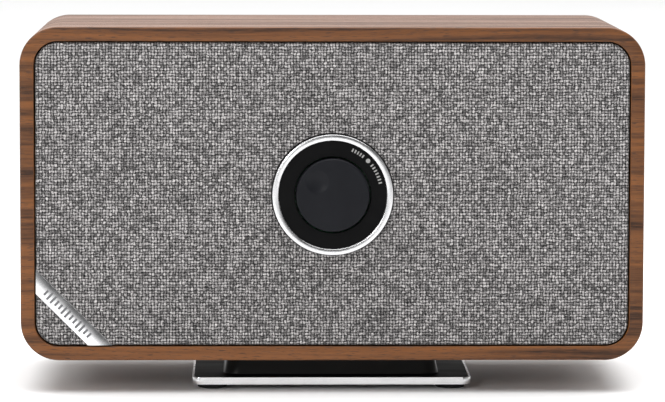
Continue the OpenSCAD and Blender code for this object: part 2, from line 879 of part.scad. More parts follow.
module baffle_screws() {
    color("gray") {
        for (side = [-1, 1], p = driver_screws)
            screw(driver_screw_head_r, driver_screw_head_h, wood_screw_r, baffle_depth - driver_screw_head_h,
                baffle_back - 2, side * driver_x + p[0], p[1]);
        for (p = housing_screws)
            screw(housing_screw_head_r, housing_screw_head_h, wood_screw_r, housing_front + 0.2,
                baffle_back - 1, p[0], p[1]);
    }
}

// ---- Amplifier ----

module amplifier_board() {
    color("darkgreen") difference() {
        block(board_w, board_high - board_low, board_front, board_back, tray_x,
            tray_z + (board_high + board_low) / 2);
        for (p = pillars) rod(pillar_hole_r + pilot_gap, board_front - past, board_back + past, p[0], p[1]);
    }
}

module amplifier_chip() {
    color([0.1, 0.1, 0.1])
        block(chip_w, chip_w, board_front - chip_t, board_front, tray_x + chip_x, tray_z + chip_z);
}

module heat_sink() {
    base_front = board_front - chip_t - sink_base_t;
    color("silver") union() {
        block(sink_w, sink_w, base_front, board_front - chip_t, tray_x + chip_x, tray_z + chip_z);
        for (i = [0 : sink_fins - 1])
            block(sink_fin_t, sink_w, base_front - sink_fin_h, base_front + past / 2,
                tray_x + chip_x + (i / (sink_fins - 1) - 0.5) * (sink_w - sink_fin_t), tray_z + chip_z);
    }
}

module capacitors() {
    color("black") for (z = can_z) lathe(tray_x + can_x, tray_z + z) polygon([
        [0, board_front - can_h],
        [can_r - 0.6, board_front - can_h],
        [can_r, board_front - can_h + 0.6],
        [can_r, board_front],
        [0, board_front],
    ]);
}

module wireless_module() {
    color("steelblue") union() {
        block(module_w, module_h, board_front - module_t, board_front, tray_x + module_x, tray_z + module_z);
        block(shield_w, shield_h, board_front - shield_t, board_front - module_t / 2, tray_x + module_x,
            tray_z + module_z - 3);
    }
}

module board_pillars() {
    color("silver") for (p = pillars) difference() {
        union() {
            translate([p[0], front_y + board_back, mid_z + p[1]]) rotate([-90, 0, 0])
                cylinder(r = pillar_r, h = panel_front - board_back, $fn = 6);
            rod(pillar_hole_r, panel_front - past, panel_front + pillar_spigot, p[0], p[1]);
        }
        rod(pillar_hole_r + pilot_gap, board_back - past, board_back + board_screw_bite + 1, p[0], p[1]);
    }
}

module board_screws() {
    color("gray") for (p = pillars)
        screw(board_screw_head_r, board_screw_head_h, pillar_hole_r, board_front - board_screw_head_h,
            board_back + board_screw_bite, p[0], p[1]);
}

// ---- Connections ----

module connection_tray() {
    color([0.08, 0.08, 0.08]) difference() {
        translate([tray_x, 0, tray_z]) union() {
            upright(panel_back, tray_flange_t) rounded_rect(tray_w + 2 * tray_wall + 2 * tray_flange,
                tray_h + 2 * tray_wall + 2 * tray_flange, tray_r + tray_flange - fit_gap);
            upright(tray_floor_front, panel_back - tray_floor_front + past)
                rounded_rect(tray_w + 2 * tray_wall, tray_h + 2 * tray_wall, tray_r - fit_gap);
        }
        translate([tray_x, 0, tray_z]) upright(tray_floor_back, tray_depth + past)
            rounded_rect(tray_w, tray_h, tray_r - tray_wall);
        rod(button_r + glue_gap, tray_floor_front - past, tray_floor_back + past, tray_x + button_x, tray_z);
        rod(audio_collar_r + glue_gap, tray_floor_front - past, tray_floor_back + past,
            tray_x + audio_x, tray_z);
        block(usb_w + 0.4, usb_h + 0.4, tray_floor_front - past, tray_floor_back + past,
            tray_x + usb_x, tray_z);
        block(network_w + 0.4, network_h + 0.4, tray_floor_front - past, tray_floor_back + past,
            tray_x + network_x, tray_z);
        rod(power_collar_r + glue_gap, tray_floor_front - past, tray_floor_back + past,
            tray_x + power_x, tray_z);
    }
}

module power_socket() {
    x = tray_x + power_x;
    color([0.12, 0.12, 0.12]) union() {
        difference() {
            union() {
                block(power_w, power_w, board_back, tray_floor_front, x, tray_z);
                rod(power_collar_r, tray_floor_front - past, socket_back, x, tray_z);
            }
            rod(power_hole_r, socket_back - power_hole_depth, socket_back + past, x, tray_z);
        }
        rod(power_pin_r, socket_back - power_hole_depth - past, socket_back - 1, x, tray_z);
    }
}

module audio_socket() {
    x = tray_x + audio_x;
    color([0.12, 0.12, 0.12]) difference() {
        union() {
            block(audio_w, audio_w, board_back, tray_floor_front, x, tray_z);
            rod(audio_collar_r, tray_floor_front - past, socket_back, x, tray_z);
        }
        rod(audio_bore_r, board_back + 1, socket_back + past, x, tray_z);
    }
}

module usb_socket() {
    x = tray_x + usb_x;
    color("silver") union() {
        difference() {
            block(usb_w, usb_h, board_back, socket_back, x, tray_z);
            block(usb_w - 2 * usb_skin, usb_h - 2 * usb_skin, board_back + 3, socket_back + past, x, tray_z);
        }
        block(usb_tongue_w, usb_tongue_t, board_back + 2, socket_back - 1, x, tray_z + 0.7);
    }
}

module network_socket() {
    x = tray_x + network_x;
    color("silver") union() {
        difference() {
            block(network_w, network_h, board_back, socket_back, x, tray_z);
            block(jack_w, jack_h, socket_back - jack_depth, socket_back + past, x, tray_z - 0.6);
        }
        for (i = [0 : jack_contacts - 1])
            block(jack_contact_w, 2 * jack_contact_w, socket_back - jack_depth - past, socket_back - 3,
                x + (i - (jack_contacts - 1) / 2) * jack_contact_pitch, tray_z + jack_h / 2 - 1);
    }
}

module setup_button() {
    x = tray_x + button_x;
    color("gray") union() {
        rod(button_r, board_back + switch_t + button_travel + 0.4, tray_floor_back + button_proud, x, tray_z);
        rod(button_flange_r, tray_floor_front - glue_gap - button_flange_t, tray_floor_front - glue_gap,
            x, tray_z);
    }
}

module setup_switch() {
    color([0.15, 0.15, 0.15])
        block(switch_w, switch_w, board_back, board_back + switch_t, tray_x + button_x, tray_z);
}

// ---- Wiring ----

// Points [x, depth, height] every few millimetres along straight runs between the given points
function along(points) = [for (i = [0 : len(points) - 2])
    let (a = points[i], b = points[i + 1], n = ceil(norm(b - a) / lead_spacing))
    for (k = [0 : n - 1]) a + (b - a) * k / n];
function eased(points) = [for (i = [0 : len(points) - 1])
    i == 0 || i == len(points) - 1 ? points[i] : (points[i - 1] + 2 * points[i] + points[i + 1]) / 4];

// Tube along points that all run to the back, with its rings in upright planes
module tube(points, r) {
    rings = len(points);
    n = lead_sides;
    corners = [for (p = points, k = [0 : n - 1])
        [p[0] + r * cos(360 * k / n), front_y + p[1], mid_z + p[2] + r * sin(360 * k / n)]];
    sides = [for (i = [0 : rings - 2], k = [0 : n - 1])
        [i * n + k, i * n + (k + 1) % n, (i + 1) * n + (k + 1) % n, (i + 1) * n + k]];
    ends = [[for (k = [n - 1 : -1 : 0]) k], [for (k = [0 : n - 1]) (rings - 1) * n + k]];
    polyhedron(points = corners, faces = concat(sides, ends), convexity = 4);
}

module speaker_leads() {
    start_x = driver_x - terminal_r;
    start = (terminal_front + terminal_back) / 2;
    color("firebrick") {
        for (i = [0, 1])
            tube(eased(concat(along(concat([[(2 * i - 1) * start_x, start, 0]],
                i == 0 ? left_lead : right_lead, [[lead_end_x[i], board_front - 6, lead_end_z]])),
                [[lead_end_x[i], board_front, lead_end_z]])), lead_r);
    }
}

module dial_ribbon() {
    mid = concat([[board_ledge, ribbon_z]], ribbon_path, [[board_front, ribbon_path[2][1]]]);
    half = [0, ribbon_t / 2];
    color("lightgray") translate([-ribbon_w / 2, front_y, mid_z]) rotate([90, 0, 90])
        linear_extrude(ribbon_w) polygon(concat([for (p = mid) p + half],
            [for (i = [len(mid) - 1 : -1 : 0]) mid[i] - half]));
}

// ---- Stand ----

module stand_plate() {
    color("silver") translate([0, plate_y, 0]) difference() {
        translate([0, 0, foot_h]) linear_extrude(plate_t) rounded_rect(plate_w, plate_d, plate_r);
        translate([0, 0, plate_top_z - top_panel_t]) linear_extrude(top_panel_t + past)
            rounded_rect(plate_w - 2 * panel_inset, plate_d - 2 * panel_inset, plate_r - panel_inset);
        for (sx = [-1, 1], sy = [-1, 1]) translate([sx * foot_x, sy * foot_y, foot_h - past])
            cylinder(r = foot_r + 0.2, h = past + foot_pocket);
        for (sx = [-1, 1]) translate([sx * stand_screw_x, 0, 0]) {
            cylinder(r = stand_screw_r + stand_screw_gap, h = plate_top_z);
            translate([0, 0, foot_h]) rotate_extrude() polygon([
                [0, -past],
                [stand_screw_head_r + stand_head_gap, -past],
                [stand_screw_head_r + stand_head_gap, stand_head_inset],
                [stand_screw_r + stand_screw_gap, stand_sink],
                [0, stand_sink],
            ]);
        }
    }
}

module stand_top_panel() {
    gap = panel_inset + glue_gap;
    color([0.04, 0.04, 0.04]) translate([0, plate_y, plate_top_z - top_panel_t])
        linear_extrude(top_panel_t) difference() {
            rounded_rect(plate_w - 2 * gap, plate_d - 2 * gap, plate_r - gap);
            for (sx = [-1, 1]) translate([sx * stand_screw_x, 0]) circle(stand_screw_r + stand_screw_gap);
        }
}

module stand_neck() {
    color([0.07, 0.075, 0.07]) translate([0, plate_y, plate_top_z]) difference() {
        linear_extrude(stand_gap, scale = [1 - neck_taper / neck_w, 1 - neck_taper / neck_d], slices = 1)
            rounded_rect(neck_w, neck_d, neck_r, $fn = 48);
        for (sx = [-1, 1]) translate([sx * stand_screw_x, 0, -past])
            cylinder(r = stand_screw_r + stand_screw_gap, h = stand_gap + 2 * past);
    }
}

module stand_feet() {
    top = foot_h + foot_pocket;
    color([0.1, 0.1, 0.1]) for (sx = [-1, 1], sy = [-1, 1])
        translate([sx * foot_x, plate_y + sy * foot_y, 0]) rotate_extrude() polygon([
            [0, 0],
            [foot_r - 0.5, 0],
            [foot_r, 0.5],
            [foot_r, top],
            [0, top],
        ]);
}

module stand_screws() {
    head_z = foot_h + stand_head_inset;
    color("silver") for (sx = [-1, 1]) translate([sx * stand_screw_x, plate_y, 0]) difference() {
        rotate_extrude() polygon([
            [0, head_z],
            [stand_screw_head_r, head_z],
            [stand_screw_r, head_z + stand_screw_head_r - stand_screw_r],
            [stand_screw_r, bottom_z + cabinet_wall - 0.5],
            [0, bottom_z + cabinet_wall - 0.5],
        ]);
        translate([0, 0, head_z - past]) cylinder(r = 1.4, h = past + 1.2, $fn = 6);
    }
}

module threaded_inserts() {
    color("goldenrod") for (sx = [-1, 1]) translate([sx * stand_screw_x, plate_y, bottom_z]) difference() {
        cylinder(r = insert_r, h = cabinet_wall - 0.2);
        translate([0, 0, -past]) cylinder(r = insert_bore_r, h = cabinet_wall + 2 * past);
    }
}

cabinet_sleeve();
front_baffle();
rear_batten_frame();
rear_panel();
rear_panel_screws();
port_tube();
grille_frame();
grille_cloth();
grille_sockets();
badge();
badge_inlay();
dial_ring();
dial_fascia();
source_marks();
light_guide();
dial_housing();
encoder_board();
indicator_leds();
encoder_body();
encoder_plunger();
encoder_shaft();
dial_knob();
driver_basket(-driver_x);  // driver_basket_left
driver_basket(driver_x);  // driver_basket_right
driver_motor(-driver_x);  // driver_motor_left
driver_motor(driver_x);  // driver_motor_right
driver_surround(-driver_x);  // driver_surround_left
driver_surround(driver_x);  // driver_surround_right
driver_spider(-driver_x);  // driver_spider_left
driver_spider(driver_x);  // driver_spider_right
driver_cone(-driver_x);  // driver_cone_left
driver_cone(driver_x);  // driver_cone_right
driver_dust_cap(-driver_x);  // driver_dust_cap_left
driver_dust_cap(driver_x);  // driver_dust_cap_right
driver_coil(-driver_x);  // driver_coil_left
driver_coil(driver_x);  // driver_coil_right
driver_terminals();
baffle_screws();
amplifier_board();
amplifier_chip();
heat_sink();
capacitors();
wireless_module();
board_pillars();
board_screws();
connection_tray();
power_socket();
audio_socket();
usb_socket();
network_socket();
setup_button();
setup_switch();
speaker_leads();
dial_ribbon();
stand_plate();
stand_top_panel();
stand_neck();
stand_feet();
stand_screws();
threaded_inserts();
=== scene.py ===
"""Tabletop radio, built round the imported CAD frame.

The veneered cabinet, the woven grille cloth, the dial's ring and knob, the badge, the bass port and the
drivers' surrounds and spiders are meshes made here, and every piece has a procedural material. A plain
studio and the photograph's camera complete the scene. Lengths are in metres, and the front faces -Y."""

import json
import math

import bmesh
import bpy
from mathutils import Matrix, Vector


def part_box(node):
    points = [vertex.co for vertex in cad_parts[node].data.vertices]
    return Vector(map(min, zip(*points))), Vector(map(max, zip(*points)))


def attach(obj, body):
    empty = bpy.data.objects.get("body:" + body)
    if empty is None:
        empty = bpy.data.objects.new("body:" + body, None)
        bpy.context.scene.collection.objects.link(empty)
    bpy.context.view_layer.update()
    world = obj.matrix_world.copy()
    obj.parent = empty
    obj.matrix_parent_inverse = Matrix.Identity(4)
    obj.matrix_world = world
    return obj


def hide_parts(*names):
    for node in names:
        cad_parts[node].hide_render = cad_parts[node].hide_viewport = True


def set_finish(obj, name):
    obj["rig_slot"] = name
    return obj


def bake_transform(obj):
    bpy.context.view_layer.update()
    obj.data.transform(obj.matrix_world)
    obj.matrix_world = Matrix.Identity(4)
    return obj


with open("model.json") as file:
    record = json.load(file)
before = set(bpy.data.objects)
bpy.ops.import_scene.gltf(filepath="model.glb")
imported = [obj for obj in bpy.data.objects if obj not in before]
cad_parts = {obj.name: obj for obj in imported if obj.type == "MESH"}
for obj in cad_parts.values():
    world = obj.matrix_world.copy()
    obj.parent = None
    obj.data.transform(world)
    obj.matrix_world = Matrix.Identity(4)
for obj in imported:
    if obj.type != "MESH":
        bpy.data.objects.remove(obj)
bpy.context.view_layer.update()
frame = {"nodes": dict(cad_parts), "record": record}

MM = 0.001
TAU = math.tau
WELD_WITHIN = 1e-6
ON_AXIS = 1e-7

# ---- Places, from the frame ----

SLEEVE_LOW, SLEEVE_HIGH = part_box("cabinet_sleeve")
FRONT = SLEEVE_LOW.y
BACK = SLEEVE_HIGH.y
MID_Z = (SLEEVE_LOW.z + SLEEVE_HIGH.z) / 2
HALF_W = SLEEVE_HIGH.x
HALF_H = SLEEVE_HIGH.z - MID_Z
CORNER_R = 19 * MM
GLUE_GAP = 0.1 * MM
WALL = HALF_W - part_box("front_baffle")[1].x - GLUE_GAP
DIAL = (0.0, MID_Z)

# Bevels, in millimetres, for the CAD nodes that are shown as they are.
ROUNDED_EDGES_MM = {
    "rear_panel": 0.5, "connection_tray": 0.4, "stand_plate": 0.45, "stand_top_panel": 0.15,
    "stand_neck": 0.6, "front_baffle": 0.3, "board_pillars": 0.15,
}


# ---- Mesh helpers ----

def outward(mesh):
    """Turns every face of a closed mesh outwards."""
    work = bmesh.new()
    work.from_mesh(mesh)
    bmesh.ops.recalc_face_normals(work, faces=work.faces)
    work.to_mesh(mesh)
    work.free()


def add_piece(name, verts, faces, body, slot, sharp_angle=35):
    """A new mesh piece that rides on a body and takes its finish from a material slot."""
    mesh = bpy.data.meshes.new(name)
    mesh.from_pydata(verts, [], faces)
    mesh.validate()
    outward(mesh)
    mesh.shade_smooth()
    mesh.set_sharp_from_angle(angle=math.radians(sharp_angle))
    piece = bpy.data.objects.new(name, mesh)
    bpy.context.scene.collection.objects.link(piece)
    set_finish(piece, slot)
    if body:
        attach(piece, body)
    return piece


def ring_faces(rings, count, closed=True):
    """Quads between successive rings of count points, back round to the first ring if closed."""
    last = rings if closed else rings - 1
    return [
        (i * count + k, ((i + 1) % rings) * count + k,
         ((i + 1) % rings) * count + (k + 1) % count, i * count + (k + 1) % count)
        for i in range(last) for k in range(count)
    ]


def lathe(name, profile, x, z, body, slot, segments=192):
    """Turns a closed outline of (radius, y) points about a front-to-back axis at (x, z).

    Points on the axis become one vertex."""
    verts, rings = [], []
    for r, y in profile:
        if r < ON_AXIS:
            rings.append([len(verts)] * segments)
            verts.append((x, y, z))
        else:
            rings.append(list(range(len(verts), len(verts) + segments)))
            verts += [(x + r * math.cos(TAU * k / segments), y, z + r * math.sin(TAU * k / segments))
                      for k in range(segments)]
    faces = []
    for i, ring in enumerate(rings):
        after = rings[(i + 1) % len(rings)]
        for k in range(segments):
            m = (k + 1) % segments
            face = [ring[k], ring[m], after[m], after[k]]
            face = [v for j, v in enumerate(face) if v != face[j - 1]]
            if len(face) > 2:
                faces.append(face)
    return add_piece(name, verts, faces, body, slot)


def arc_points(cx, cy, r, start, end, steps):
    """Points on an arc, by angles in degrees."""
    angles = [math.radians(start + (end - start) * i / steps) for i in range(steps + 1)]
    return [(cx + r * math.cos(a), cy + r * math.sin(a)) for a in angles]


def rounded_outline(half_w, half_h, r, per_corner, step):
    """Points (x, z, normal x, normal z, distance along) and the length of a rounded rectangle's outline.

    It runs anticlockwise from the middle of the lower side, as seen from the front, with per_corner points
    at each corner and points about a step apart on the sides."""
    points = []
    corners = [(half_w - r, -half_h + r, -90), (half_w - r, half_h - r, 0),
               (-half_w + r, half_h - r, 90), (-half_w + r, -half_h + r, 180)]
    x, z, travelled = 0.0, -half_h, 0.0

    def straight(x1, z1):
        """Adds the points from the present place up to (x1, z1)."""
        nonlocal x, z, travelled
        length = math.hypot(x1 - x, z1 - z)
        n = max(1, round(length / step))
        dx, dz = (x1 - x) / length, (z1 - z) / length
        for i in range(n):
            t = length * i / n
            points.append((x + dx * t, z + dz * t, dz, -dx, travelled + t))
        x, z, travelled = x1, z1, travelled + length

    for cx, cz, start in corners:
        a = math.radians(start)
        straight(cx + r * math.cos(a), cz + r * math.sin(a))
        for i in range(per_corner):
            a = math.radians(start + 90 * i / per_corner)
            points.append((cx + r * math.cos(a), cz + r * math.sin(a), math.cos(a), math.sin(a),
                           travelled + r * math.pi / 2 * i / per_corner))
        a = math.radians(start + 90)
        x, z = cx + r * math.cos(a), cz + r * math.sin(a)
        travelled += r * math.pi / 2
    straight(0.0, -half_h)
    return points, travelled


# ---- Material helpers ----

class Shade:
    """One material's node tree, with a Principled shader at its end."""

    def __init__(self, name):
        self.material = bpy.data.materials.new(name)
        self.material.use_nodes = True
        self.tree = self.material.node_tree
        self.shader = self.tree.nodes["Principled BSDF"]

    def feed(self, socket, value):
        """Links a socket to another one, or sets its constant. None leaves it alone."""
        if value is None:
            return
        if isinstance(value, bpy.types.NodeSocket):
            self.tree.links.new(value, socket)
        else:
            socket.default_value = value

    def node(self, kind, *inputs, **props):
        """A new shader node, with its inputs fed in their own order."""
        n = self.tree.nodes.new("ShaderNode" + kind)
        for key, value in props.items():
            setattr(n, key, value)
        for socket, value in zip(n.inputs, inputs):
            self.feed(socket, value)
        return n

    def fill(self, n, **inputs):
        """Feeds a node's inputs by name: base_color, roughness, mortar_size and so on."""
        for key, value in inputs.items():
            self.feed(n.inputs[key.replace("_", " ").title().replace("Ior", "IOR")], value)
        return n

    def set(self, **inputs):
        """Feeds the shader's inputs by name."""
        self.fill(self.shader, **inputs)

    def math(self, operation, a, b=None, c=None):
        return self.node("Math", a, b, c, operation=operation).outputs[0]

    def attribute(self, name):
        return self.node("Attribute", attribute_name=name).outputs["Vector"]

    def place(self):
        """A point's place in the object, in metres."""
        return self.node("TexCoord").outputs["Object"]

    def scaled(self, vector, scale):
        return self.node("VectorMath", vector, scale, operation="MULTIPLY").outputs[0]

    def split(self, vector):
        return self.node("SeparateXYZ", vector).outputs

    def join(self, x, y, z=0.0):
        return self.node("CombineXYZ", x, y, z).outputs[0]

    def noise(self, vector, scale=1.0, detail=2.0, roughness=0.5):
        n = self.fill(self.node("TexNoise"), vector=vector, scale=scale, detail=detail, roughness=roughness)
        return n.outputs["Fac"]

    def white(self, vector):
        return self.node("TexWhiteNoise", vector).outputs["Value"]

    def spread(self, value, low, high, to_low=0.0, to_high=1.0):
        """Maps low..high to to_low..to_high, clamped."""
        return self.node("MapRange", value, low, high, to_low, to_high).outputs[0]

    def mix(self, fac, a, b):
        """Mixes two colours, each a socket or three numbers. Sockets 0, 6 and 7 are the ones for colours."""
        n = self.node("Mix", data_type="RGBA")
        colours = [c if isinstance(c, bpy.types.NodeSocket) else (*c, 1.0) for c in (a, b)]
        for socket, value in zip((n.inputs[0], n.inputs[6], n.inputs[7]), (fac, *colours)):
            self.feed(socket, value)
        return n.outputs[2]

    def bump(self, height, distance, strength):
        n = self.fill(self.node("Bump"), height=height, distance=distance, strength=strength)
        return n.outputs["Normal"]


# ---- Materials ----

def walnut():
    """Walnut veneer: figure, fibre and open pores along the grain.

    The grain attribute holds metres along the grain and across it, and a layer number that gives an edge or
    side its own figure. The patterns' scales are cycles a metre along and across."""
    wander_scale, wander_width = (3.0, 9.0, 1.0), 14 * MM
    figure_scale, band_scale = (5.0, 260.0, 1.0), (2.2, 60.0, 1.0)
    fibre_scale, pore_scale = (90.0, 1500.0, 1.0), (170.0, 2300.0, 1.0)
    dark, light = (0.021, 0.0068, 0.0014), (0.182, 0.063, 0.0135)
    fibre_brown, pore_brown = (0.15, 0.052, 0.0115), (0.03, 0.012, 0.005)
    relief = 0.11 * MM

    s = Shade("walnut_veneer")
    grain = s.attribute("grain")
    wander = s.noise(s.scaled(grain, wander_scale))
    along, across, layer = s.split(grain)
    line = s.join(along, s.math("MULTIPLY_ADD", wander, wander_width, across), layer)
    figure = s.noise(s.scaled(line, figure_scale), 1.0, 4.0, 0.6)
    bands = s.noise(s.scaled(line, band_scale))
    fibre = s.noise(s.scaled(line, fibre_scale), 1.0, 3.0, 0.65)
    pore = s.spread(s.noise(s.scaled(line, pore_scale), 1.0, 1.0), 0.6, 0.68)
    tone = s.math("ADD", s.math("MULTIPLY", figure, 0.6), s.math("MULTIPLY", bands, 0.4))

    base = s.mix(s.spread(tone, 0.41, 0.59), dark, light)
    base = s.mix(s.spread(fibre, 0.4, 0.7, 0.0, 0.5), base, fibre_brown)
    base = s.mix(s.math("MULTIPLY", pore, 0.8), base, pore_brown)
    gloss = s.math("MULTIPLY_ADD", fibre, 0.35, tone)
    ridges = s.math("MULTIPLY_ADD", figure, 1.6, s.math("MULTIPLY", fibre, 0.5))
    height = s.math("SUBTRACT", ridges, pore)
    s.set(base_color=base, roughness=s.spread(gloss, 0.52, 0.78, 0.72, 0.3),
          normal=s.bump(height, relief, 0.7), specular_ior_level=0.34)
    return s.material


def cloth_weave(name, pitch, dark, light, attribute=None):
    """Plain weave of uneven melange yarn, pitch apart.

    Each yarn keeps its own tone, which changes along it and from pick to pick. The gaps at the corners
    of the weave are dark, and painted shade darkens each yarn's edges and the places where it dips under
    its neighbour. The attribute holds metres on the flat cloth. Without one the pattern follows x and z."""
    wobble_scale, wobble_width = 0.35 / pitch, 1.1 * pitch
    arch_across, arch_along = 2.5, 1.9
    pick_share, gap_shade_share, hair_share = 0.17, 1.5, 0.35
    gap_shade_low, gap_shade_high = 0.36, 0.86
    tone_low, tone_high = 0.4, 0.68
    warp_seed, weft_seed, fibre_seed_step = 1.0, 5.0, 9.0

    s = Shade(name)
    if attribute:
        flat = s.attribute(attribute)
    else:
        x, _, z = s.split(s.place())
        flat = s.join(x, z)
    wobble = s.fill(s.node("TexNoise"), vector=flat, scale=wobble_scale, detail=3.0).outputs["Color"]
    shift = s.node("VectorMath", wobble, (0.5, 0.5, 0.5), operation="SUBTRACT").outputs[0]
    flat = s.node("VectorMath", shift, (wobble_width,) * 3, flat, operation="MULTIPLY_ADD").outputs[0]
    x, y, _ = s.split(s.scaled(flat, (1 / pitch, 1 / pitch, 0.0)))
    column, row = s.math("FLOOR", x), s.math("FLOOR", y)
    fx = s.math("SUBTRACT", s.math("FRACT", x), 0.5)
    fy = s.math("SUBTRACT", s.math("FRACT", y), 0.5)
    over = s.math("MODULO", s.math("ABSOLUTE", s.math("ADD", column, row)), 2.0)

    def yarn(index, run, across, along, seed):
        """Height and tone of the yarns that run one way."""
        shape = s.math("MULTIPLY", s.math("COSINE", s.math("MULTIPLY", across, arch_across)),
                       s.math("COSINE", s.math("MULTIPLY", along, arch_along)))
        side = s.math("MULTIPLY_ADD", across, 2.6, s.math("MULTIPLY", index, 7.3))
        slub_place = s.join(side, s.math("MULTIPLY", run, 0.4), seed)
        slub = s.noise(slub_place, 1.0, 2.0, 0.6)
        fibre_x, fibre_y = s.math("MULTIPLY", side, 1.8), s.math("MULTIPLY", run, 1.7)
        fibre = s.noise(s.join(fibre_x, fibre_y, seed + fibre_seed_step))
        pick = s.white(s.join(index, s.math("FLOOR", run), seed))
        tone = s.math("MULTIPLY_ADD", slub, 0.4, s.math("MULTIPLY", fibre, 0.5))
        tone = s.math("ADD", tone, 0.05)
        return shape, s.math("MULTIPLY_ADD", s.math("SUBTRACT", pick, 0.5), pick_share, tone)

    warp_h, warp_tone = yarn(column, y, fx, fy, warp_seed)
    weft_h, weft_tone = yarn(row, x, fy, fx, weft_seed)

    def choose(warp, weft):
        """The warp's value where it lies on top, and the weft's elsewhere."""
        under = s.math("SUBTRACT", 1.0, over)
        return s.math("ADD", s.math("MULTIPLY", over, warp), s.math("MULTIPLY", under, weft))

    height, tone = choose(warp_h, weft_h), choose(warp_tone, weft_tone)
    hair = s.noise(flat, 1.6 / pitch, 3.0, 0.7)
    # Painted shade: the colour darkens in the weave's gaps and where each yarn dips under its neighbour.
    gap_and_shade = s.math("MULTIPLY_ADD", s.math("SUBTRACT", hair, 0.5), gap_shade_share, height)
    bright = s.spread(tone, tone_low, tone_high, 0.1, 1.0)
    lit = s.math("MULTIPLY", s.spread(gap_and_shade, gap_shade_low, gap_shade_high), bright)
    relief = s.math("ADD", height, s.math("MULTIPLY", hair, hair_share))
    s.set(base_color=s.mix(lit, dark, light), roughness=0.92, normal=s.bump(relief, 0.3 * pitch, 0.8))
    s.set(sheen_weight=0.06, sheen_roughness=0.5, specular_ior_level=0.15)
    return s.material


def moulded(name, colour, roughness=0.5, grain=0.35 * MM, depth=0.02 * MM, specular=0.4):
    """Moulded plastic, rubber or paint: slight mottling, a fine surface texture and uneven gloss."""
    mottling, paler, uneven = 0.48, 1.35, 0.06
    s = Shade(name)
    mottle = s.noise(s.place(), 90.0, 3.0, 0.6)
    texture = s.noise(s.place(), 1 / grain, 2.0, 0.6)
    pale = tuple(min(1.0, c * paler + 0.002) for c in colour)
    s.set(base_color=s.mix(s.spread(mottle, 0.3, 0.7, 0.0, mottling), colour, pale),
          roughness=s.spread(texture, 0.25, 0.75, roughness - uneven, roughness + uneven),
          normal=s.bump(texture, depth, 0.5), specular_ior_level=specular)
    return s.material


def metal(name, colour, roughness=0.3, along=(1, 0, 0), depth=0.006 * MM, turned=None):
    """Satin metal with fine lines along one axis, or round a front-to-back axis at (x, z) if turned."""
    lines_a_metre = 1 / (0.12 * MM)
    s = Shade(name)
    if turned:
        x, y, z = s.split(s.place())
        dx, dz = s.math("SUBTRACT", x, turned[0]), s.math("SUBTRACT", z, turned[1])
        r = s.math("SQRT", s.math("ADD", s.math("MULTIPLY", dx, dx), s.math("MULTIPLY", dz, dz)))
        angle = s.math("ARCTAN2", dz, dx)
        spot = s.join(s.math("MULTIPLY", r, lines_a_metre), s.math("MULTIPLY", angle, 6.0),
                      s.math("MULTIPLY", y, 0.25 * lines_a_metre))
    else:
        spot = s.scaled(s.place(), tuple(30.0 if a else lines_a_metre for a in along))
    lines = s.noise(spot, 1.0, 2.0, 0.6)
    worn = s.noise(s.place(), 140.0, 3.0, 0.6)
    dull = tuple(c * 0.82 for c in colour)
    s.set(base_color=s.mix(s.spread(lines, 0.3, 0.7), dull, colour), metallic=1.0,
          roughness=s.spread(worn, 0.3, 0.7, roughness - 0.04, roughness + 0.05),
          normal=s.bump(lines, depth, 0.5))
    return s.material


def fibreboard():
    """Dark fibreboard with pale chips."""
    s = Shade("fibreboard")
    chip = s.noise(s.place(), 900.0, 4.0, 0.7)
    s.set(base_color=s.mix(s.spread(chip, 0.35, 0.65), (0.02, 0.017, 0.014), (0.06, 0.05, 0.04)),
          roughness=0.85, normal=s.bump(chip, 0.08 * MM, 0.6))
    return s.material


def circuit_board():
    """Green solder mask over copper tracks and pads."""
    tracks_a_metre, pads_a_metre, pad_r = 380.0, 300.0, 0.13
    s = Shade("circuit_board")
    x, _, z = s.split(s.place())
    cell = s.join(s.math("MULTIPLY", x, tracks_a_metre), s.math("MULTIPLY", z, tracks_a_metre))
    track = s.node("TexBrick", cell, offset=0.35)
    s.fill(track, scale=1.0, mortar_size=0.12, brick_width=3.1, row_height=1.0)
    pads = s.node("TexVoronoi", s.scaled(s.place(), (pads_a_metre, 0.0, pads_a_metre))).outputs["Distance"]
    base = s.mix(track.outputs["Fac"], (0.012, 0.10, 0.04), (0.03, 0.2, 0.08))
    base = s.mix(s.math("LESS_THAN", pads, pad_r), base, (0.55, 0.5, 0.38))
    s.set(base_color=base, roughness=0.35, normal=s.bump(track.outputs["Fac"], 0.03 * MM, 0.5))
    return s.material


def wound_copper():
    """Copper wire, one turn beside the next from front to back, with painted shade between the turns and a
    painted highlight on each.
    """
    wire = 0.3 * MM
    s = Shade("coil_copper")
    _, y, _ = s.split(s.place())
    turn = s.math("SINE", s.math("MULTIPLY", y, TAU / wire))
    # Painted shade and highlight: dark copper between the turns, bright copper on each turn's crest.
    s.set(base_color=s.mix(s.spread(turn, -1.0, 1.0), (0.22, 0.07, 0.03), (0.75, 0.33, 0.16)), metallic=1.0,
          roughness=0.35, normal=s.bump(turn, 0.06 * MM, 0.8))
    return s.material


def flat_cable():
    """Grey ribbon cable, whose cores show as ridges, with painted shade between them and a painted highlight
    on each.
    """
    core_pitch = 1.0 * MM
    s = Shade("ribbon_grey")
    x, _, _ = s.split(s.place())
    core = s.math("SINE", s.math("MULTIPLY", x, TAU / core_pitch))
    # Painted shade and highlight: darker grey between the cores, lighter grey on each core's ridge.
    s.set(base_color=s.mix(s.spread(core, -0.2, 0.9), (0.28, 0.28, 0.29), (0.55, 0.55, 0.56)),
          roughness=0.45, normal=s.bump(core, 0.15 * MM, 0.8))
    return s.material


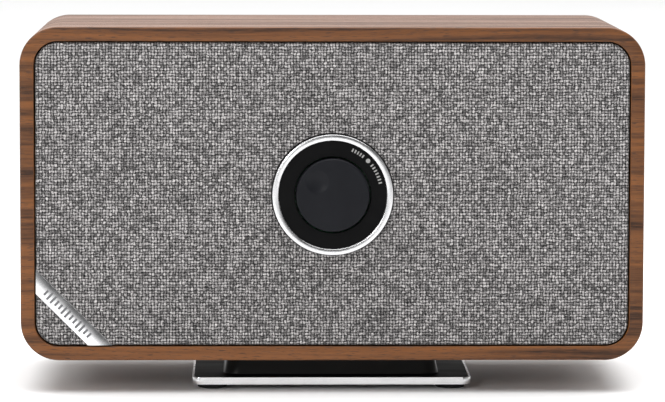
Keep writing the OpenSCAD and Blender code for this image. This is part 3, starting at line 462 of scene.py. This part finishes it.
def satin_black(name, roughness):
    """Satin black panel with a little dust and faint wipe marks."""
    s = Shade(name)
    black, dusty = (0.004, 0.004, 0.004), (0.06, 0.06, 0.06)
    dust = s.noise(s.place(), 2600.0, 2.0, 0.6)
    wipe = s.noise(s.scaled(s.place(), (14.0, 90.0, 14.0)), 1.0, 3.0, 0.6)
    s.set(base_color=s.mix(s.spread(dust, 0.68, 0.78, 0.0, 0.35), black, dusty),
          roughness=s.spread(wipe, 0.35, 0.65, roughness, roughness + 0.08), specular_ior_level=0.04)
    return s.material


def materials():
    """One material for each of the record's slots."""
    # The dark colours fill the weaves' gaps and their painted shade.
    cloth_gap_shade, cloth_light = (0.006, 0.0057, 0.006), (0.66, 0.632, 0.627)
    resin_gap_shade, resin_light = (0.2, 0.1, 0.03), (0.62, 0.4, 0.16)
    return {
        "walnut_veneer": walnut(),
        "baffle_board": fibreboard(),
        "rear_panel_black": moulded("rear_panel_black", (0.018, 0.018, 0.019), 0.55, depth=0.05 * MM),
        "black_screw": moulded("black_screw", (0.02, 0.02, 0.02), 0.4),
        "grille_plastic": moulded("grille_plastic", (0.015, 0.015, 0.015), 0.6),
        "grille_cloth": cloth_weave("grille_cloth", 1.5 * MM, cloth_gap_shade, cloth_light, "weave"),
        "socket_rubber": moulded("socket_rubber", (0.012, 0.012, 0.012), 0.75),
        "badge_metal": metal("badge_metal", (0.86, 0.86, 0.87), 0.2),
        "badge_inlay": moulded("badge_inlay", (0.12, 0.12, 0.125), 0.5),
        "ring_metal": metal("ring_metal", (0.7, 0.7, 0.71), 0.24, turned=DIAL, depth=0.003 * MM),
        "fascia_black": moulded("fascia_black", (0.003, 0.003, 0.0032), 0.4, specular=0.05),
        "mark_white": moulded("mark_white", (0.27, 0.265, 0.26), 0.5),
        "circuit_board": circuit_board(),
        "component_black": moulded("component_black", (0.02, 0.02, 0.021), 0.5),
        "encoder_metal": metal("encoder_metal", (0.62, 0.61, 0.58), 0.3),
        "plunger_plastic": moulded("plunger_plastic", (0.7, 0.7, 0.66), 0.45),
        "knob_grey": moulded("knob_grey", (0.0072, 0.0076, 0.0096), 0.38, grain=0.5 * MM, specular=0.1),
        "basket_paint": moulded("basket_paint", (0.02, 0.02, 0.02), 0.35, depth=0.05 * MM),
        "magnet_dark": metal("magnet_dark", (0.2, 0.2, 0.21), 0.45),
        "surround_rubber": moulded("surround_rubber", (0.01, 0.01, 0.01), 0.6),
        "spider_cloth": cloth_weave("spider_cloth", 0.6 * MM, resin_gap_shade, resin_light),
        "cone_paper": moulded("cone_paper", (0.03, 0.03, 0.033), 0.7, grain=0.8 * MM, depth=0.08 * MM),
        "coil_copper": wound_copper(),
        "terminal_board": moulded("terminal_board", (0.42, 0.28, 0.13), 0.6),
        "zinc_screw": metal("zinc_screw", (0.6, 0.6, 0.58), 0.32),
        "sink_aluminium": metal("sink_aluminium", (0.72, 0.72, 0.73), 0.38, (0, 0, 1)),
        "button_grey": moulded("button_grey", (0.1, 0.1, 0.105), 0.45),
        "lead_red": moulded("lead_red", (0.35, 0.02, 0.015), 0.4),
        "ribbon_grey": flat_cable(),
        "plate_metal": metal("plate_metal", (0.76, 0.76, 0.765), 0.22, depth=0.001 * MM),
        "plate_top_black": satin_black("plate_top_black", 0.4),
        "neck_black": moulded("neck_black", (0.006, 0.0065, 0.006), 0.35, specular=0.3),
        "insert_brass": metal("insert_brass", (0.72, 0.52, 0.24), 0.35),
    }


def dress_cad_nodes(library):
    """Gives every CAD node its slot's material, joins its doubled points, and rounds the edges of some."""
    for part in frame["record"]["subparts"]:
        node = frame["nodes"][part["node"]]
        node.data.materials.clear()
        node.data.materials.append(library[part["material_slot"]])
        weld = node.modifiers.new("weld", "WELD")
        weld.merge_threshold = WELD_WITHIN
        if part["node"] in ROUNDED_EDGES_MM:
            bevel = node.modifiers.new("edge", "BEVEL")
            bevel.width = ROUNDED_EDGES_MM[part["node"]] * MM
            bevel.segments = 2
            bevel.limit_method = "ANGLE"
            bevel.angle_limit = math.radians(40)
            bevel.use_clamp_overlap = True


# ---- Cabinet ----

def corner_attribute(piece, name, values):
    """Stores one vector a face corner, for a pattern that jumps at an edge."""
    layer = piece.data.attributes.new(name, "FLOAT_VECTOR", "CORNER")
    layer.data.foreach_set("vector", [c for v in values for c in v])


def build_sleeve():
    """Veneered sleeve, swept round the cabinet's outline, with its front and rear edges slightly rounded.

    The section is a loop of (distance outwards from the outline, y). The grain runs along x on the front
    and rear edges, and round the cabinet on its sides. Each of the three has its own layer number."""
    edge, inner_edge = 0.9 * MM, 0.4 * MM
    faces_y = 0.72
    front_layer, rear_layer, side_layer = 3.0, 7.0, 11.0
    outline, length = rounded_outline(HALF_W, HALF_H, CORNER_R, 28, 4 * MM)
    outer = [(-edge + ox, FRONT + edge + oy) for ox, oy in arc_points(0, 0, edge, 0, -90, 5)]
    inner = [(-WALL + inner_edge + ox, FRONT + inner_edge + oy)
             for ox, oy in arc_points(0, 0, inner_edge, -90, -180, 3)]
    outside = [(0.0, BACK - edge + (FRONT + 2 * edge - BACK) * i / 12) for i in range(1, 12)]
    rear = [(-WALL + ox + inner_edge, BACK - inner_edge + oy)
            for ox, oy in arc_points(0, 0, inner_edge, 180, 90, 3)]
    rear += [(-edge + ox, BACK - edge + oy) for ox, oy in arc_points(0, 0, edge, 90, 0, 5)]
    profile = outer + inner + rear + outside
    count = len(outline)
    verts = [(x + nx * off, y, MID_Z + z + nz * off) for off, y in profile for x, z, nx, nz, _ in outline]
    faces = ring_faces(len(profile), count)
    piece = add_piece("cabinet_veneer", verts, faces, "cabinet", "walnut_veneer", 50)
    values = []
    for polygon in piece.data.polygons:
        columns = [v % count for v in polygon.vertices]
        facing = abs(polygon.normal.y) > faces_y
        wraps = max(columns) - min(columns) > count // 2
        for column, vertex in zip(columns, polygon.vertices):
            x, y, z = piece.data.vertices[vertex].co
            if facing:
                values.append((x, z, front_layer if polygon.normal.y < 0 else rear_layer))
            else:
                around = length if wraps and column == 0 else outline[column][4]
                values.append((around, y, side_layer))
    corner_attribute(piece, "grain", values)
    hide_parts("cabinet_sleeve")
    return piece


# ---- Grille cloth ----

def build_cloth():
    """Cloth stretched over the grille frame: the front, the rolled edge, the sides and the turned-over hem.

    The loops go out over the front, round the edge and in behind, and then back the same way on the cloth's
    inner face. Each point also has its place on the flat cloth, which the weave follows."""
    low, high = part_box("grille_cloth")
    half_w, half_h = high.x, (high.z - low.z) / 2
    radius = CORNER_R - WALL - (HALF_W - WALL - half_w)
    thick = high.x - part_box("grille_frame")[1].x
    front, back = low.y, high.y
    roll, hem_roll, hem = 1.4 * MM, 1.4 * MM, 7 * MM
    hole_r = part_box("dial_ring")[1].x + 0.6 * MM
    front_steps, roll_steps, hem_steps = 62, 6, 4
    inner_front_steps, inner_roll_steps, inner_hem_steps = 6, 3, 2
    outline, _ = rounded_outline(half_w, half_h, radius, 20, 1.35 * MM)
    count = len(outline)

    def ring(offset, y, run):
        """A loop at an offset from the outline, which lies run beyond it on the flat cloth."""
        return [((x + nx * offset, y, MID_Z + z + nz * offset), (x + nx * run, z + nz * run, 0.0))
                for x, z, nx, nz, _ in outline]

    def spoke(t, y, inset):
        """A loop on the front, from the dial's hole at t = 0 to the rolled edge at t = 1."""
        loop = []
        for x, z, nx, nz, _ in outline:
            ex, ez = x - nx * inset, z - nz * inset
            reach = math.hypot(ex, ez)
            hx, hz = ex / reach * hole_r, ez / reach * hole_r
            px, pz = hx + (ex - hx) * t, hz + (ez - hz) * t
            loop.append(((px, y, MID_Z + pz), (px, pz, 0.0)))
        return loop

    loops = [spoke(i / front_steps, front, roll) for i in range(front_steps + 1)]
    for i in range(1, roll_steps + 1):
        a = math.radians(90 * i / roll_steps)
        loops.append(ring(-roll + roll * math.sin(a), front + roll - roll * math.cos(a), -roll + roll * a))
    run = -roll + roll * math.pi / 2 + (back - front - roll - hem_roll)
    for i in range(hem_steps + 1):
        a = math.radians(90 * i / hem_steps)
        loops.append(ring(-hem_roll + hem_roll * math.cos(a), back - hem_roll + hem_roll * math.sin(a),
                          run + hem_roll * a))
    run += hem_roll * math.pi / 2
    loops.append(ring(-hem_roll - hem / 2, back, run + hem / 2))
    loops.append(ring(-thick - hem, back, run + hem))
    loops.append(ring(-thick - hem, back - thick, run + hem))
    loops.append(ring(-hem_roll - hem / 2, back - thick, run + hem / 2))
    inner_hem = hem_roll - thick
    for i in range(inner_hem_steps + 1):
        a = math.radians(90 - 90 * i / inner_hem_steps)
        loops.append(ring(-hem_roll + inner_hem * math.cos(a),
                          back - hem_roll + inner_hem * math.sin(a), run))
    inner_roll = roll - thick
    for i in range(inner_roll_steps + 1):
        a = math.radians(90 - 90 * i / inner_roll_steps)
        loops.append(ring(-roll + inner_roll * math.sin(a), front + roll - inner_roll * math.cos(a), 0.0))
    for i in range(1, inner_front_steps + 1):
        loops.append(spoke(1 - i / inner_front_steps, front + thick, roll))
    verts = [p for loop in loops for p, _ in loop]
    faces = ring_faces(len(loops), count)
    piece = add_piece("grille_cloth_woven", verts, faces, "cabinet", "grille_cloth", 60)
    weave = piece.data.attributes.new("weave", "FLOAT_VECTOR", "POINT")
    weave.data.foreach_set("vector", [c for loop in loops for _, flat in loop for c in flat])
    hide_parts("grille_cloth")
    return piece


# ---- Dial ----

def build_ring():
    """Turned metal ring with a slightly crowned face, rounded edges and a ledge that the fascia sits on."""
    low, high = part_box("dial_ring")
    front, back, outer = low.y, high.y, high.x
    inner = outer - 3 * MM
    ledge = inner - 1.6 * MM
    seat = front + 2.7 * MM
    crown, edge = 0.17 * MM, 0.35 * MM
    half = (outer - inner) / 2 - edge
    face = [(inner + edge + half * (1 + t), front + crown * t * t) for t in (i / 8 for i in range(-8, 9))]
    outside = arc_points(outer - edge, front + crown + edge, edge, -80, 0, 5)
    inside = arc_points(inner + edge, front + crown + edge, edge, 180, 260, 5)
    profile = [(ledge, seat), (inner, seat)] + inside + face + outside + [(outer, back), (ledge, back)]
    piece = lathe("dial_ring_turned", profile, *DIAL, "cabinet", "ring_metal")
    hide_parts("dial_ring")
    return piece


def build_knob():
    """Moulded knob with a rounded edge, a hub for the shaft, and a finger dimple eased into the face.

    The dimple is a shallow bowl of a sphere, pressed into the fine rings of the face."""
    low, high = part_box("dial_knob")
    front, back, radius = low.y, high.y, high.x
    skirt = front + 7.5 * MM
    wall, fillet, chamfer = 2 * MM, 1 * MM, 0.2 * MM
    hub_r, bore_r, bore_front = 6 * MM, 3.025 * MM, front + 2.5 * MM
    dimple_r, depth, ease = 5.7 * MM, 1 * MM, 0.1 * MM
    dimple_margin, dimple_angle = 2.4 * MM, math.radians(139.5)
    at = radius - dimple_margin - dimple_r
    centre = Vector((DIAL[0] + at * math.cos(dimple_angle), DIAL[1] + at * math.sin(dimple_angle)))
    sphere_r = (dimple_r ** 2 + depth ** 2) / (2 * depth)
    flat = radius - fillet
    rings = 56
    profile = [(flat * i / rings, front) for i in range(rings)]
    profile += arc_points(flat, front + fillet, fillet, -90, 0, 10)
    profile += [(radius, skirt - chamfer), (radius - chamfer, skirt), (radius - wall, skirt)]
    profile += [(radius - wall, front + wall), (hub_r, front + wall), (hub_r, back), (bore_r, back)]
    profile += [(bore_r, bore_front), (0.0, bore_front)]
    piece = lathe("dial_knob_moulded", profile, *DIAL, "dial", "knob_grey", 216)
    for vertex in piece.data.vertices:
        x, y, z = vertex.co
        if y < front + WELD_WITHIN:
            away = (Vector((x, z)) - centre).length
            bowl = math.sqrt(max(sphere_r ** 2 - away ** 2, 0.0)) - (sphere_r - depth)
            vertex.co.y = front + (bowl + math.sqrt(bowl ** 2 + ease ** 2)) / 2
    piece.data.set_sharp_from_angle(angle=math.radians(40))
    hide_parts("dial_knob")
    return piece


# ---- Badge ----

def applied(piece):
    """Puts a piece's modifiers into its mesh."""
    graph = bpy.context.evaluated_depsgraph_get()
    mesh = bpy.data.meshes.new_from_object(piece.evaluated_get(graph))
    piece.modifiers.clear()
    piece.data = mesh
    return piece


def build_badge():
    """Crowned metal strip across the grille's lower left corner, with inlaid bars in real pockets.

    The crown's crest lies off the middle, towards the corner. Places are (x, z), down runs along the strip
    from its upper end, and inward runs across it towards the corner."""
    low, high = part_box("badge")
    corner = Vector(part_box("grille_cloth")[0].xz)
    reach, width = 38 * MM, 9 * MM
    front, back = low.y, high.y
    crown_r, crest, bevel = 20 * MM, 0.62 * width, 0.35 * MM
    bar_count, bar_pitch, bar_width, bar_offset = 13, 2.5 * MM, 1.1 * MM, 0.2 * MM
    bar_shortest, bar_swing = 0.22, 0.3
    face_steps, bar_steps = 20, 6
    down, inward = Vector((1, -1)).normalized(), Vector((-1, -1)).normalized()
    top = corner + Vector((0, reach))

    def sag(t):
        """How far the crowned face lies behind its highest line, t across the strip from its upper edge."""
        off = t - crest
        return crown_r - math.sqrt(crown_r ** 2 - off ** 2)

    def profile():
        """Distance across the strip and depth, round its section."""
        face = [bevel + (width - 2 * bevel) * i / face_steps for i in range(face_steps + 1)]
        points = [(0.0, front + sag(0.0) + bevel)] + [(t, front + sag(t)) for t in face]
        points += [(width, front + sag(width) + bevel), (width, back), (0.0, back)]
        return points

    ends = []
    for t, y in profile():
        start = top + inward * t
        start = start + down * ((corner.x - start.x) / down.x)
        end = start + down * ((corner.y - start.y) / down.y)
        ends.append((start, end, y))
    n = len(ends)
    verts = [(pair[k].x, y, pair[k].y) for k in (0, 1) for *pair, y in ends]
    faces = [(i, (i + 1) % n, n + (i + 1) % n, n + i) for i in range(n)]
    faces += [tuple(range(n - 1, -1, -1)), tuple(range(n, 2 * n))]
    badge = add_piece("badge_strip", verts, faces, "cabinet", "badge_metal", 20)

    def bars(name, gap, face_at, back_at):
        """One piece that holds all the bars, as blocks that follow the crown, with a gap round each."""
        all_verts, all_faces = [], []
        for i in range(bar_count):
            tall = width * (bar_shortest + bar_swing * abs(math.sin(math.radians(i * 45 + 20))))
            centre = reach / math.sqrt(2) + (i - (bar_count - 1) / 2) * bar_pitch
            first = len(all_verts)
            for k in range(bar_steps + 1):
                t = width / 2 + bar_offset + (tall / 2 + gap) * (2 * k / bar_steps - 1)
                for side in (-1, 1):
                    p = top + inward * t + down * (centre + side * (bar_width / 2 + gap))
                    all_verts.append((p.x, front + sag(t) + face_at, p.y))
                    all_verts.append((p.x, front + back_at, p.y))
            for k in range(bar_steps):
                a = first + 4 * k
                all_faces += [(a, a + 2, a + 6, a + 4), (a + 1, a + 5, a + 7, a + 3),
                              (a, a + 4, a + 5, a + 1), (a + 2, a + 3, a + 7, a + 6)]
            a = first + 4 * bar_steps
            all_faces += [(first, first + 1, first + 3, first + 2), (a, a + 2, a + 3, a + 1)]
        return add_piece(name, all_verts, all_faces, "cabinet", "badge_inlay", 30)

    cutter = bars("badge_pockets", 0.04 * MM, -1.0 * MM, 0.45 * MM)
    carve = badge.modifiers.new("pockets", "BOOLEAN")
    carve.object = cutter
    carve.solver = "EXACT"
    applied(badge)
    bpy.data.objects.remove(cutter)
    badge.data.set_sharp_from_angle(angle=math.radians(20))
    inlay = bars("badge_inlay_bars", 0.0, 0.06 * MM, 0.44 * MM)
    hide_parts("badge")
    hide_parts("badge_inlay")
    return badge, inlay


# ---- Rear ----

def build_port():
    """Bass port with a flared, rounded mouth."""
    low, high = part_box("port_tube")
    x, z = (low.x + high.x) / 2, (low.z + high.z) / 2
    flange_r = (high.x - low.x) / 2
    bore = flange_r - 8 * MM
    wall, flare, edge = 2 * MM, 3 * MM, 0.6 * MM
    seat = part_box("rear_panel")[1].y
    profile = [(bore, low.y)] + arc_points(bore + flare, high.y - flare, flare, 180, 90, 14)
    profile += arc_points(flange_r - edge, high.y - edge, edge, 90, 0, 5)
    profile += [(flange_r, seat), (bore + wall, seat), (bore + wall, low.y)]
    piece = lathe("port_tube_moulded", profile, x, z, "cabinet", "grille_plastic", 144)
    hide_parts("port_tube")
    return piece


# ---- Drivers' soft parts ----

def build_suspension(side):
    """One driver's rubber surround and corrugated spider, which lie between the basket and the cone."""
    low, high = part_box("driver_surround_" + side)
    x = (low.x + high.x) / 2
    lip_r = (high.x - low.x) / 2
    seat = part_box("driver_basket_" + side)[0].y
    cone_low, cone_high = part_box("driver_cone_" + side)
    cone_r = (cone_high.x - cone_low.x) / 2
    thick = 0.6 * MM
    inner, outer = cone_r - 0.1 * MM, lip_r - 4.4 * MM
    bulge = 3.2 * MM

    def roll(thin, start, end):
        """Half-round roll, from one lip to the other."""
        points = []
        for a in (math.radians(start + (end - start) * i / 24) for i in range(25)):
            r = (inner + outer) / 2 + ((outer - inner) / 2 - thin) * math.cos(a)
            share = (r - inner) / (outer - inner)
            rest = (cone_low.y - thick) * (1 - share) + (seat - thick) * share
            points.append((r, rest - (bulge - thin) * math.sin(a)))
        return points

    lip = inner - 2.8 * MM
    profile = [(lip, cone_low.y - thick)] + roll(0, 180, 0) + [(lip_r, seat - thick), (lip_r, seat)]
    profile += [(outer - thick, seat)] + roll(thick, 0, 180)
    profile += [(inner + thick, cone_low.y), (lip, cone_low.y)]
    surround = lathe("surround_rubber_" + side, profile, x, MID_Z, None, "surround_rubber", 128)
    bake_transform(surround)
    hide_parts("driver_surround_" + side)

    spider_low, spider_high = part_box("driver_spider_" + side)
    rim_r = (spider_high.x - spider_low.x) / 2
    neck_r = 12.35 * MM
    waves, wave_height = 3, 0.8 * MM
    inner_y, ledge = cone_high.y + 1 * MM, seat + 21 * MM
    first_r, last_r = neck_r + 1.45 * MM, rim_r - 5.2 * MM

    def folds(lift):
        """Waves between the coil and the basket's ledge, lifted towards the back."""
        return [(first_r + (last_r - first_r) * t,
                 inner_y + (ledge - thick - inner_y) * t + wave_height * math.sin(waves * TAU * t) + lift)
                for t in (i / 48 for i in range(49))]

    profile = [(neck_r, inner_y)] + folds(0) + [(rim_r, ledge - thick), (rim_r, ledge)]
    profile += folds(thick)[::-1] + [(neck_r, inner_y + thick)]
    spider = lathe("spider_corrugated_" + side, profile, x, MID_Z, None, "spider_cloth", 128)
    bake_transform(spider)
    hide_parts("driver_spider_" + side)
    return surround, spider


# ---- Studio and camera ----

def build_floor():
    """Plain pale floor."""
    half = 9.0
    corners = [(-half, -half, 0), (half, -half, 0), (half, half, 0), (-half, half, 0)]
    mesh = bpy.data.meshes.new("floor")
    mesh.from_pydata(corners, [], [(0, 1, 2, 3)])
    floor = bpy.data.objects.new("floor", mesh)
    bpy.context.scene.collection.objects.link(floor)
    s = Shade("floor")
    s.set(base_color=s.mix(s.noise(s.place(), 3.0), (0.86, 0.86, 0.86), (0.88, 0.88, 0.88)), roughness=0.6)
    s.set(specular_ior_level=0.2)
    mesh.materials.append(s.material)


def build_world():
    """White surround. The camera sees it evenly. To all else it is dimmer in front, from the horizon up."""
    world = bpy.data.worlds.new("studio")
    bpy.context.scene.world = world
    world.use_nodes = True
    tree = world.node_tree

    def step(source, low, high, to_low, to_high):
        """Maps low..high to to_low..to_high, clamped."""
        n = tree.nodes.new("ShaderNodeMapRange")
        for socket, value in zip(n.inputs[1:5], (low, high, to_low, to_high)):
            socket.default_value = value
        tree.links.new(source, n.inputs[0])
        return n.outputs[0]

    def blend(fac, a, b):
        """Goes from a to b, each a socket or a number."""
        n = tree.nodes.new("ShaderNodeMix")
        for socket, value in zip((n.inputs[0], n.inputs[2], n.inputs[3]), (fac, a, b)):
            if isinstance(value, bpy.types.NodeSocket):
                tree.links.new(value, socket)
            else:
                socket.default_value = value
        return n.outputs[0]

    direction = tree.nodes.new("ShaderNodeTexCoord")
    split = tree.nodes.new("ShaderNodeSeparateXYZ")
    tree.links.new(direction.outputs["Generated"], split.inputs[0])
    behind = step(split.outputs["Y"], -0.3, 0.15, 0.0, 1.0)
    upward = step(split.outputs["Z"], 0.0, 0.16, 0.8, 0.1)
    path = tree.nodes.new("ShaderNodeLightPath")
    strength = blend(path.outputs["Is Camera Ray"], blend(behind, upward, 1.0), 1.0)
    background = tree.nodes["Background"]
    tree.links.new(strength, background.inputs["Strength"])
    background.inputs["Color"].default_value = (1.0, 1.0, 1.0, 1.0)


def area_light(name, location, look_at, size, power):
    """Soft light that the camera doesn't see, in watts."""
    lamp = bpy.data.lights.new(name, "AREA")
    lamp.shape = "RECTANGLE"
    lamp.size, lamp.size_y = size
    lamp.energy = power
    light = bpy.data.objects.new(name, lamp)
    light.location = location
    light.visible_camera = False
    light.rotation_euler = (Vector(look_at) - Vector(location)).to_track_quat("-Z", "Y").to_euler()
    bpy.context.scene.collection.objects.link(light)


def build_studio():
    """Floor, surround and four soft lights. The one at the back is there to whiten the floor behind."""
    build_floor()
    build_world()
    area_light("top_light", (0.0, -0.1, 1.3), (0.0, -0.1, 0.0), (1.8, 1.3), 26.0)
    area_light("front_light", (0.2, -1.5, 1.9), (0.0, -0.35, 0.0), (1.8, 0.9), 20.0)
    area_light("back_light", (0.0, 3.2, 2.4), (0.0, 3.2, 0.0), (7.0, 4.5), 95.0)
    area_light("key_light", (-0.9, -1.9, 0.78), (0.0, 0.0, 0.1), (0.6, 0.6), 12.0)


def build_camera():
    """The photograph's view: a long lens, a little above the radio's middle, turned slightly right."""
    yaw, pitch, roll = (math.radians(a) for a in (1.234, 5.2888, 0.1245))
    lens = bpy.data.cameras.new("camera")
    lens.sensor_width = 36.0
    lens.lens = 211.7
    lens.clip_end = 60.0
    camera = bpy.data.objects.new("camera", lens)
    turn = Matrix.Rotation(-yaw, 4, "Z") @ Matrix.Rotation(math.pi / 2 - pitch, 4, "X")
    place = Vector((-0.0417, FRONT - 1.93255, MID_Z + 0.17568))
    camera.matrix_world = Matrix.Translation(place) @ turn @ Matrix.Rotation(roll, 4, "Z")
    bpy.context.scene.collection.objects.link(camera)
    bpy.context.scene.camera = camera


def main():
    """Builds the whole scene, and gives each new piece the material of its slot."""
    view = bpy.context.scene.view_settings
    view.view_transform = "Standard"
    view.look = "None"
    build_camera()
    library = materials()
    dress_cad_nodes(library)
    pieces = [build_sleeve(), build_cloth(), build_ring(), build_knob(), *build_badge(), build_port()]
    for side in ("left", "right"):
        pieces += build_suspension(side)
    for piece in pieces:
        piece.data.materials.clear()
        piece.data.materials.append(library[piece["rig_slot"]])
    build_studio()


main()
